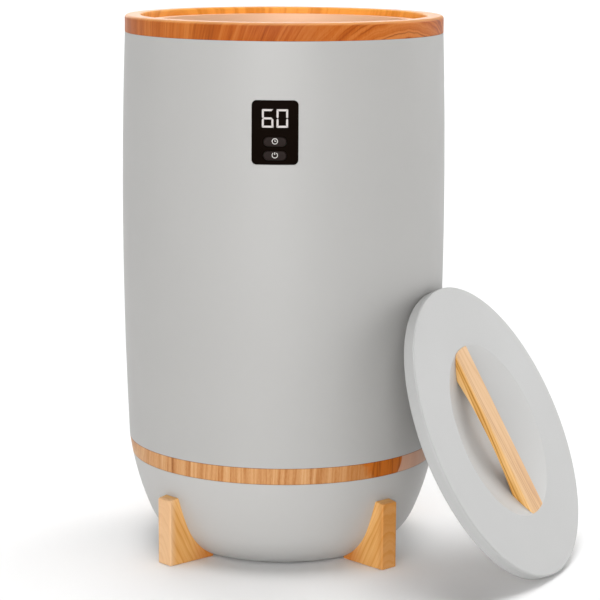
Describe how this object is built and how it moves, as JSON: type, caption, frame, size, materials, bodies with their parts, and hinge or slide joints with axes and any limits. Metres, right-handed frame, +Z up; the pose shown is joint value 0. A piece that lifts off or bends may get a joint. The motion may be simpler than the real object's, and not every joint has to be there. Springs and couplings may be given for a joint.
{
  "type": "bucket towel warmer",
  "caption": "Bucket towel warmer: a grey drum with wooden rim, band and fin feet, a heated metal pot, a front display with two keys, and its lid leaning at the right.",
  "frame": {"origin": "on the drum's axis, at the level of the floor that the feet stand on", "axes": "+Z up along the drum's axis, -Y towards the display at the front, +X to the right, where the lid leans"},
  "size_m": [0.4399, 0.3764, 0.5084],
  "materials": {
    "shell_plastic": "fine satin moulding, light warm grey",
    "wood_trim": "satin lacquered light wood",
    "pot_metal": "smooth drawn metal with a soft shine",
    "smoked_lens": "polished black",
    "display_white": "lit white diffuser",
    "key_plastic": "dark grey satin",
    "pad_rubber": "dull",
    "seal_rubber": "dull silicone",
    "screw_steel": "zinc plated",
    "black_plastic": "fine moulding",
    "board_green": "solder mask",
    "part_blue": "moulded component case",
    "part_yellow": "moulded component case",
    "heater_film": "silicone heater sheet",
    "insulation_felt": "needled felt",
    "lead_red": "silicone wire",
    "ribbon_grey": "flat cable"
  },
  "bodies": {
    "drum": {"outer_shell": "shell_plastic", "top_rim_ring": "wood_trim", "trim_band": "wood_trim", "base_bowl": "shell_plastic", "foot_front_left": "wood_trim", "foot_front_right": "wood_trim", "foot_rear_left": "wood_trim", "foot_rear_right": "wood_trim", "foot_pads": "pad_rubber", "foot_screws": "screw_steel", "bottom_cover": "shell_plastic", "bottom_cover_screws": "screw_steel", "shell_screws": "screw_steel", "rim_screws": "screw_steel", "inner_pot": "pot_metal", "pot_wall_heater": "heater_film", "pot_floor_heater": "heater_film", "insulation_sleeve": "insulation_felt", "thermostat": "black_plastic", "thermal_fuse": "screw_steel", "power_board": "board_green", "power_board_screws": "screw_steel", "power_relay": "part_blue", "terminal_block": "board_green", "mains_capacitor": "part_yellow", "board_transformer": "part_yellow", "heater_leads": "lead_red", "cord_gland": "black_plastic", "gland_nut": "black_plastic", "display_lens": "smoked_lens", "digit_light_bars": "display_white", "display_housing": "black_plastic", "control_board": "board_green", "control_board_screws": "screw_steel", "digit_module": "black_plastic", "button_switches": "black_plastic", "ribbon_cable": "ribbon_grey", "ribbon_plug": "black_plastic"},
    "lid": {"lid_top": "shell_plastic", "lid_inner_cover": "shell_plastic", "lid_seal": "seal_rubber", "lid_foam": "insulation_felt", "lid_handle": "wood_trim", "lid_handle_screws": "screw_steel", "lid_cover_screws": "screw_steel"},
    "timer_button": {"timer_button": "key_plastic"},
    "power_button": {"power_button": "key_plastic"}
  },
  "joints": [
    {"name": "lid_lift", "type": "slide", "parent": "drum", "child": "lid", "axis": [0.8203, -0.3635, 0.4415], "range_m": [0, 0.25]},
    {"name": "timer_press", "type": "slide", "parent": "drum", "child": "timer_button", "axis": [0, 1, 0], "range_m": [0, 0.0008], "stiffness_N_per_m": 2000},
    {"name": "power_press", "type": "slide", "parent": "drum", "child": "power_button", "axis": [0, 1, 0], "range_m": [0, 0.0008], "stiffness_N_per_m": 2000}
  ]
}
